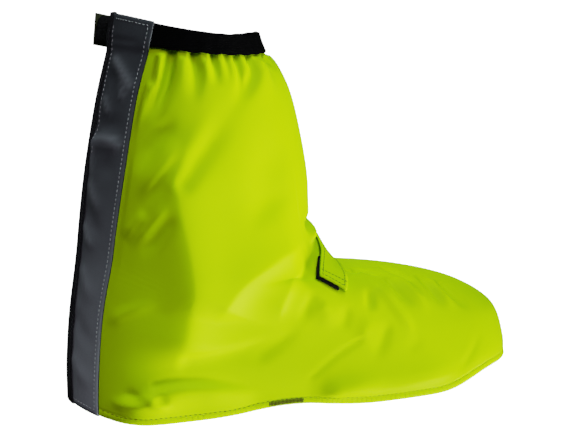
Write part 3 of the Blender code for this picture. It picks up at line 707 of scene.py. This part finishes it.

# Back strip
# Dark grey reflective tape over the back seam, sewn down with pale thread along its edges and across its
# top. It is stiffer than the fabric and creases softly across the back of the leg. It is paler towards the
# foot, and a highlight is painted along the crests of its creases. Its cut edge has painted shade, and
# shows pale beside the collar band, where its light backing and a painted highlight show.
TAPE_DARK, TAPE_PALE = (0.026, 0.031, 0.039, 1), (0.25, 0.28, 0.33, 1)
FOOT_PALENESS, PALENESS_FALL, CREASE_HIGHLIGHT = 1.05, 4.4, 0.46
reflective, shader, nodes = finish("grey_reflective_tape", {"Specular IOR Level": 0.4, "Metallic": 0.25})
place = nodes.node("ShaderNodeTexCoord", output="Object")
beads = nodes.node("ShaderNodeTexVoronoi", inputs={"Vector": place, "Scale": 1400.0})
cloud = nodes.node("ShaderNodeTexNoise", inputs={"Vector": place, "Scale": 40.0, "Detail": 4.0})
height = nodes.node("ShaderNodeSeparateXYZ", inputs={"Vector": place}, output="Z")
# The tape grows paler towards the foot, by height.
paleness = nodes.math("MULTIPLY_ADD", height, -PALENESS_FALL, FOOT_PALENESS)
crease = nodes.node("ShaderNodeAttribute", {"attribute_name": "worn_crease"}, output="Fac")
# A highlight is painted paler along the crests of the tape's creases.
tone_and_painted_highlight = paleness * paleness + cloud * 0.12 + crease * (1 - paleness) * CREASE_HIGHLIGHT
nodes.feed(shader.inputs["Base Color"], nodes.mix(tone_and_painted_highlight, TAPE_DARK, TAPE_PALE))
nodes.feed(shader.inputs["Roughness"], 0.34 + cloud * 0.15 + beads * 0.1)
bump = nodes.node(
    "ShaderNodeBump", inputs={"Strength": 0.35, "Distance": 0.06 * MM, "Height": beads + cloud * 2.0}
)
nodes.feed(shader.inputs["Normal"], bump)

EDGE_LOW, EDGE_HIGH = 0.226, 0.241
EDGE_PAINTED_SHADE, EDGE_BACKING_AND_HIGHLIGHT, EDGE_WEFT = (0.012, 0.013, 0.015, 1), (0.15, 0.165, 0.185, 1), (0.02, 0.022, 0.025, 1)
cut_edge, shader, nodes = finish("tape_cut_edge", {"Roughness": 0.6, "Specular IOR Level": 0.2})
place = nodes.node("ShaderNodeTexCoord", output="Object")
height = nodes.node("ShaderNodeSeparateXYZ", inputs={"Vector": place}, output="Z")
weave = nodes.node("ShaderNodeTexNoise", inputs={"Vector": place, "Scale": 700.0, "Detail": 2.0})
# Painted shade darkens the cut edge, except beside the collar band, where it is pale with its light backing
# and a painted highlight.
beside_band = nodes.math("LESS_THAN", nodes.math("ABSOLUTE", height - (EDGE_LOW + EDGE_HIGH) / 2),
                         (EDGE_HIGH - EDGE_LOW) / 2)
edge_tone = nodes.mix(beside_band, EDGE_PAINTED_SHADE, EDGE_BACKING_AND_HIGHLIGHT)
nodes.feed(shader.inputs["Base Color"], nodes.mix(weave * 0.5, edge_tone, EDGE_WEFT))
bump = nodes.node("ShaderNodeBump", inputs={"Strength": 0.5, "Distance": 0.1 * MM, "Height": weave})
nodes.feed(shader.inputs["Normal"], bump)

STRIP_FOLDS = [
    Fold("back", [(0, 231), (-12, 231), (-26, 230)], -0.7, 1.6, 1.6, 0.1, 0.1),
    Fold("back", [(-4, 222), (-14, 217), (-24, 207), (-29, 200)], 1.5, 3.4, 3.0, 0.3, 0.3, 1.0, 1.5),
    Fold("back", [(-6, 212), (-14, 207), (-22, 200)], -1.0, 3.0, 3.0, 0.3, 0.3),
    Fold("back", [(-14, 208), (-20, 203), (-26, 194)], 1.1, 2.4, 2.4, 0.3, 0.3),
    Fold("back", [(-6, 200), (-12, 192), (-20, 180)], 1.2, 2.6, 3.0, 0.3, 0.4),
    Fold("back", [(0, 178), (-12, 182), (-27, 180)], -1.2, 4.5, 4.5, 0.2, 0.2),
    Fold("back", [(0, 166), (-8, 171), (-18, 172), (-28, 168)], 2.4, 3.4, 3.2, 0.15, 0.15, 1.0, 1.5),
    Fold("back", [(-3, 166), (-6, 156), (-10, 146)], 1.2, 2.8, 3.0, 0.2, 0.5),
    Fold("back", [(-14, 160), (-24, 152)], -1.2, 4.0, 4.0, 0.3, 0.4),
    Fold("back", [(-4, 150), (-10, 140), (-20, 126)], 1.3, 3.0, 4.0, 0.3, 0.4),
    Fold("back", [(-2, 134), (-12, 124), (-22, 112)], -0.9, 4.0, 4.0, 0.3, 0.4),
    Fold("back", [(-5, 124), (-9, 114), (-16, 104)], 1.4, 2.4, 3.6, 0.3, 0.4),
    Fold("back", [(-5, 98), (-12, 86), (-20, 72)], 1.0, 4.0, 5.0, 0.3, 0.4),
    Fold("back", [(-4, 68), (-12, 58), (-24, 44)], -0.8, 5.0, 5.0, 0.3, 0.4),
    Fold("back", [(-4, 42), (-12, 32), (-24, 20)], 0.8, 5.0, 5.0, 0.3, 0.4),
]
HIGHLIGHT_HEIGHT, DEEPEST_CREASE = 1.5, 0.8
strip = copied("back_strip", "reflective_back_strip")
faced(strip, reflective, cut_edge, lambda face: face.normal.x)
rounded(strip, 2)
tree = search_tree(strip)
points = mesh_points(strip)
heights = np.zeros(len(points))
for fold in STRIP_FOLDS:
    heights += fold_heights(fold, tree, points, np.zeros(len(points)))
facing_out = slot_vertices(strip, OUTER_FACE)
lifts = np.where(facing_out, np.maximum(heights, -DEEPEST_CREASE * MM), 0)
set_points(strip, points + vertex_normals(strip) * lifts[:, None])
# The crests of the tape's creases, where a highlight is painted paler.
worn_crease = strip.data.attributes.new("worn_crease", "FLOAT", "POINT")
worn_crease.data.foreach_set("value", smoothstep(heights / (HIGHLIGHT_HEIGHT * MM)).astype(np.float32))
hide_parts("back_strip")
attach(strip, "root")

# The far stitch line runs beside the folded edge tape, whose edge leans away from the middle of the back.
BOUND_TOP, BOUND_LEAN, BOUND_FROM = -1.5, 0.02, 230


def bound_edge(up):
    """Where the edge tape's near edge lies across the back, at a height."""
    return BOUND_TOP - BOUND_LEAN * (BOUND_FROM - up)


STRIP_PITCH, STRIP_STITCH, NEAR_INSET, FAR_INSET = 2.7, (1.8, 0.65, 0.5), 3.0, 2.6
STITCHED_FROM, STITCHED_TO = 4, 238
pale_thread = thread("pale_grey_thread", (0.18, 0.20, 0.22, 1), (0.46, 0.49, 0.54, 1))
strip_rim = rims(strip, OUTER_FACE)[0]
far_line = [(bound_edge(up) - FAR_INSET, up) for up in (STITCHED_TO, 214, 190, 164)]
stitches(
    "back_strip_stitches",
    [seam(strip, strip_rim, NEAR_INSET, STRIP_PITCH, lambda spot: (
        (spot[:, 1] < bound_edge(STITCHED_TO) - FAR_INSET) & (spot[:, 2] > STITCHED_FROM)
    )), seam_across(strip, "back", far_line, STRIP_PITCH)],
    STRIP_STITCH, 0.0, pale_thread,
)

# Back edge tape
# Narrow black tape that binds the strip's far edge. It is folded over the edge on to the strip's face and
# overcast with slanting stitches.
BINDING_DARK, BINDING_PALE = (0.004, 0.004, 0.005, 1), (0.014, 0.015, 0.018, 1)
binding, shader, nodes = finish("black_edge_tape", {"Specular IOR Level": 0.2})
place = nodes.node("ShaderNodeTexCoord", output="Object")
weave = nodes.node(
    "ShaderNodeTexWave", {"bands_direction": "Z"}, {"Vector": place, "Scale": 420.0, "Distortion": 0.6}
)
nodes.feed(shader.inputs["Base Color"], nodes.mix(weave, BINDING_DARK, BINDING_PALE))
nodes.feed(shader.inputs["Roughness"], 0.6 + weave * 0.2)
bump = nodes.node("ShaderNodeBump", inputs={"Strength": 0.5, "Distance": 0.15 * MM, "Height": weave})
nodes.feed(shader.inputs["Normal"], bump)

edge_tape = copied("back_edge_tape", "back_edge_binding")
faced(edge_tape, binding, binding, lambda face: face.normal.x)
rounded(edge_tape, 2)
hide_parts("back_edge_tape")
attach(edge_tape, "root")

FOLD_LIFT, FOLD_THICK = 0.15, 0.7
turned = bpy.data.objects.new("back_edge_fold", strip.data.copy())
turned.data.name = turned.name
turned.data.materials.clear()
bpy.context.scene.collection.objects.link(turned)
bpy.context.view_layer.objects.active = turned
for face in turned.data.polygons:
    face.select = face.material_index != OUTER_FACE
bpy.ops.object.mode_set(mode="EDIT")
bpy.ops.mesh.select_mode(type="FACE")
bpy.ops.mesh.delete(type="FACE")
bpy.ops.mesh.select_all(action="SELECT")
bpy.ops.mesh.bisect(
    plane_co=heel + Vector((0, BOUND_TOP, BOUND_FROM)) * MM, plane_no=(0, 1, -BOUND_LEAN), clear_inner=True
)
bpy.ops.mesh.select_all(action="SELECT")
bpy.ops.transform.shrink_fatten(value=FOLD_LIFT * MM)
bpy.ops.object.mode_set(mode="OBJECT")
wall = turned.modifiers.new("wall", "SOLIDIFY")
wall.thickness, wall.offset = FOLD_THICK * MM, 1.0
bpy.ops.object.modifier_apply(modifier=wall.name)
turned.data.materials.append(binding)
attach(turned, "root")

edge_thread = thread("grey_overcast_thread", (0.008, 0.009, 0.010, 1), (0.035, 0.038, 0.045, 1))
edge_rim = rims(edge_tape, OUTER_FACE)[0]
OVERCAST_PITCH, OVERCAST_INSET, FOLD_SEAM_INSET = 2.3, 1.6, 1.8
OVERCAST_STITCH, OVERCAST_TURN = (3.2, 0.6, 0.5), math.radians(58)
bound_line = [(bound_edge(up) + FOLD_SEAM_INSET, up) for up in (236, 190, 140, 90, 40, 18)]
stitches(
    "back_edge_stitches",
    [seam(edge_tape, edge_rim, OVERCAST_INSET, OVERCAST_PITCH),
     seam_across(turned, "back", bound_line, OVERCAST_PITCH)],
    OVERCAST_STITCH, OVERCAST_TURN, edge_thread,
)

# Closure tab
# A fabric tab at the back of the collar that closes the gaiter round the leg, with black hook tape sewn on
# it. The instep strap's hook tape is the same and is made here too.
HOOK_PALE, HOOK_DARK = (0.006, 0.006, 0.007, 1), (0.0012, 0.0012, 0.0015, 1)
hooks, shader, nodes = finish("black_hook_tape", {"Specular IOR Level": 0.1})
place = nodes.node("ShaderNodeTexCoord", output="Object")
loops = nodes.node("ShaderNodeTexVoronoi", {"feature": "SMOOTH_F1"}, {"Vector": place, "Scale": 650.0})
nodes.feed(shader.inputs["Base Color"], nodes.mix(loops, HOOK_PALE, HOOK_DARK))
nodes.feed(shader.inputs["Roughness"], 0.85 + loops * 0.1)
bump = nodes.node(
    "ShaderNodeBump", {"invert": True}, {"Strength": 0.9, "Distance": 0.6 * MM, "Height": loops}
)
nodes.feed(shader.inputs["Normal"], bump)

TAB_PALE, TAB_DARK = (0.022, 0.026, 0.012, 1), (0.010, 0.012, 0.006, 1)
tab_fabric, shader, nodes = finish("olive_backed_fabric", {"Specular IOR Level": 0.15, "Roughness": 0.8})
place = nodes.node("ShaderNodeTexCoord", output="Object")
knit = nodes.node("ShaderNodeTexVoronoi", inputs={"Vector": place, "Scale": 900.0})
nodes.feed(shader.inputs["Base Color"], nodes.mix(knit, TAB_PALE, TAB_DARK))
bump = nodes.node("ShaderNodeBump", inputs={"Strength": 0.5, "Distance": 0.2 * MM, "Height": knit})
nodes.feed(shader.inputs["Normal"], bump)
for node, name, material, slot in (
    ("closure_tab", "closure_tab_fabric", tab_fabric, "coated_fabric"),
    ("closure_tab_hook", "closure_tab_hooks", hooks, "hook_tape"),
    ("instep_strap_hook", "instep_strap_hooks", hooks, "hook_tape"),
):
    piece = copied(node, name)
    piece.data.materials.append(material)
    crease_corners(CORNER)
    rounded(piece, 2)
    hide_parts(node)
    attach(piece, "root")

# Instep strap
# A double strap of the same fabric over the instep. It is sewn round its edges with black thread and closed
# by hook tape.
strap = copied("instep_strap", "instep_strap_fabric")
faced(strap, coated, coated, lambda face: -face.normal.x - face.normal.z)
rounded(strap, 2)
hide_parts("instep_strap")
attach(strap, "root")
black_thread = thread("black_thread", (0.006, 0.007, 0.003, 1), (0.03, 0.035, 0.01, 1))
STRAP_INSET, STRAP_PITCH, STRAP_STITCH = 1.9, 2.4, (2.1, 0.5, 0.4)
STRAP_CROSS_SEAM = [(155.5, 86.5), (170, 78.5)]
strap_rim = rims(strap, OUTER_FACE)[0]
stitches(
    "instep_strap_stitches",
    [seam(strap, strap_rim, STRAP_INSET, STRAP_PITCH),
     seam_across(strap, "outer", STRAP_CROSS_SEAM, STRAP_PITCH)],
    STRAP_STITCH, 0.0, black_thread,
)

# Underfoot strap
# Black webbing under the arch, sewn to the inside of the hem on both sides.
WEBBING_DARK, WEBBING_PALE = (0.004, 0.004, 0.005, 1), (0.02, 0.02, 0.022, 1)
webbing, shader, nodes = finish("black_webbing", {"Specular IOR Level": 0.2})
place = nodes.node("ShaderNodeTexCoord", output="Object")
warp = nodes.node("ShaderNodeTexWave", {"bands_direction": "X"}, {"Vector": place, "Scale": 260.0})
weft = nodes.node("ShaderNodeTexWave", {"bands_direction": "Y"}, {"Vector": place, "Scale": 200.0})
nodes.feed(shader.inputs["Base Color"], nodes.mix(warp * weft, WEBBING_DARK, WEBBING_PALE))
nodes.feed(shader.inputs["Roughness"], 0.65 + warp * 0.15)
bump = nodes.node("ShaderNodeBump", inputs={"Strength": 0.7, "Distance": 0.3 * MM, "Height": warp * weft})
nodes.feed(shader.inputs["Normal"], bump)
under = copied("underfoot_strap", "underfoot_webbing")
under.data.materials.append(webbing)
crease_corners(CORNER)
rounded(under, 2)
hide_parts("underfoot_strap")
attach(under, "root")

# Studio
# A white light table with a white backdrop round it, in a dark room. The main softbox shines up through the
# table from beyond the toe, with a second beside it that only gives the coating its sheen. Two more stand
# above the camera and overhead, and two light the far side. Table and backdrop throw no light back.
FLOOR_HALF, BACKDROP_RADIUS, BACKDROP_HEIGHT = 14.0, 13.72, 12.0
bpy.ops.mesh.primitive_plane_add(size=2 * FLOOR_HALF)
floor = bpy.context.object
floor.name = "floor"
white = finish("white_floor", {
    "Base Color": (0.8, 0.8, 0.8, 1), "Roughness": 0.9,
    "Emission Color": (1, 1, 1, 1), "Emission Strength": 3.6,
})[0]
bpy.ops.mesh.primitive_cylinder_add(
    vertices=96, radius=BACKDROP_RADIUS, depth=BACKDROP_HEIGHT, end_fill_type="NOTHING",
    location=(0, 0, BACKDROP_HEIGHT / 2),
)
backdrop = bpy.context.object
backdrop.name = "backdrop"
bpy.ops.object.transform_apply(location=True)
for plain in (floor, backdrop):
    plain.data.materials.append(white)
    plain.visible_diffuse = plain.visible_glossy = plain.visible_shadow = False

world = bpy.data.worlds.new("studio")
world.use_nodes = True
world.node_tree.nodes["Background"].inputs["Color"].default_value = (1, 1, 1, 1)
world.node_tree.nodes["Background"].inputs["Strength"].default_value = 0.02
bpy.context.scene.world = world

# The exposure is a photograph's: brights roll off in each colour by itself, and the table burns out.
TONE_WHITE = 3.0
TONE = [(0.25, 0.25), (0.5, 0.455), (0.75, 0.58), (1.0, 0.66), (1.5, 0.74), (2.0, 0.80)]
view = bpy.context.scene.view_settings
view.view_transform = "Standard"
view.use_curve_mapping = True
view.curve_mapping.white_level = (TONE_WHITE, TONE_WHITE, TONE_WHITE)
for light, shown in TONE:
    view.curve_mapping.curves[3].points.new(light / TONE_WHITE, shown)
view.curve_mapping.update()

SOFTBOX_AIM, SOFTBOX_DISTANCE, SOFTBOX_SIZE = Vector((0, 0, 0.1)), 3.5, 1.4
Softbox = namedtuple("Softbox", "name bearing rise energy tint lights shines")
SOFTBOXES = [
    Softbox("under_table", -26, -40, 375.0, (1.0, 1.0, 1.0), True, False),
    Softbox("sheen", -8, -34, 300.0, (1.0, 1.0, 1.0), False, True),
    Softbox("over_camera", -95, 38, 64.0, (1.0, 0.87, 0.92), True, False),
    Softbox("overhead", -60, 62, 96.0, (0.76, 1.0, 0.85), True, False),
    Softbox("far_side", 58, -30, 170.0, (1.0, 1.0, 1.0), True, False),
    Softbox("far_top", 130, 45, 50.0, (0.95, 1.0, 0.95), True, False),
]
for box in SOFTBOXES:
    bearing, rise = math.radians(box.bearing), math.radians(box.rise)
    away = Vector((
        math.cos(bearing) * math.cos(rise), math.sin(bearing) * math.cos(rise), math.sin(rise)
    ))
    bpy.ops.object.light_add(type="AREA", location=SOFTBOX_AIM + away * SOFTBOX_DISTANCE)
    lamp = bpy.context.object
    lamp.name = box.name
    lamp.data.shape = "SQUARE"
    lamp.data.size = SOFTBOX_SIZE
    lamp.data.energy = box.energy
    lamp.data.color = box.tint
    lamp.visible_camera = False
    lamp.visible_diffuse, lamp.visible_glossy = box.lights, box.shines
    lamp.rotation_euler = (-away).to_track_quat("-Z", "Y").to_euler()

# A flag, which the camera doesn't see, keeps part of the main light off the toe.
FLAG_SIZE, FLAG_DISTANCE, FLAG_EDGE = 0.6, 0.45, -0.01
TOE, ANKLE = heel + Vector((300, 0, 30)) * MM, heel + Vector((130, 0, 80)) * MM
to_lamp = (bpy.data.objects["under_table"].location - TOE).normalized()
outwards = (TOE - ANKLE - to_lamp * (TOE - ANKLE).dot(to_lamp)).normalized()
bpy.ops.mesh.primitive_plane_add(
    size=FLAG_SIZE, location=TOE + to_lamp * FLAG_DISTANCE + outwards * (FLAG_EDGE + FLAG_SIZE / 2),
    rotation=Matrix((outwards, to_lamp.cross(outwards), to_lamp)).transposed().to_euler(),
)
flag = bpy.context.object
flag.name = "flag"
bpy.ops.object.transform_apply(location=True, rotation=True)
flag.data.materials.append(white)
flag.visible_camera = flag.visible_diffuse = flag.visible_glossy = False

# Camera
# It looks down a little on the outer side from behind the heel, with a long lens.
CAMERA_PLACE = heel + Vector((-174.35, -824.51, 281.86)) * MM
CAMERA_TURN, CAMERA_TILT = math.radians(21.04), math.radians(10.78)
SENSOR, IMAGE_WIDTH, FOCAL_PIXELS = 36.0, 568, 1400
bpy.ops.object.camera_add(
    location=CAMERA_PLACE, rotation=(math.pi / 2 - CAMERA_TILT, 0, -CAMERA_TURN)
)
camera = bpy.context.object
camera.data.sensor_width = SENSOR
camera.data.lens = FOCAL_PIXELS * SENSOR / IMAGE_WIDTH
bpy.context.scene.camera = camera
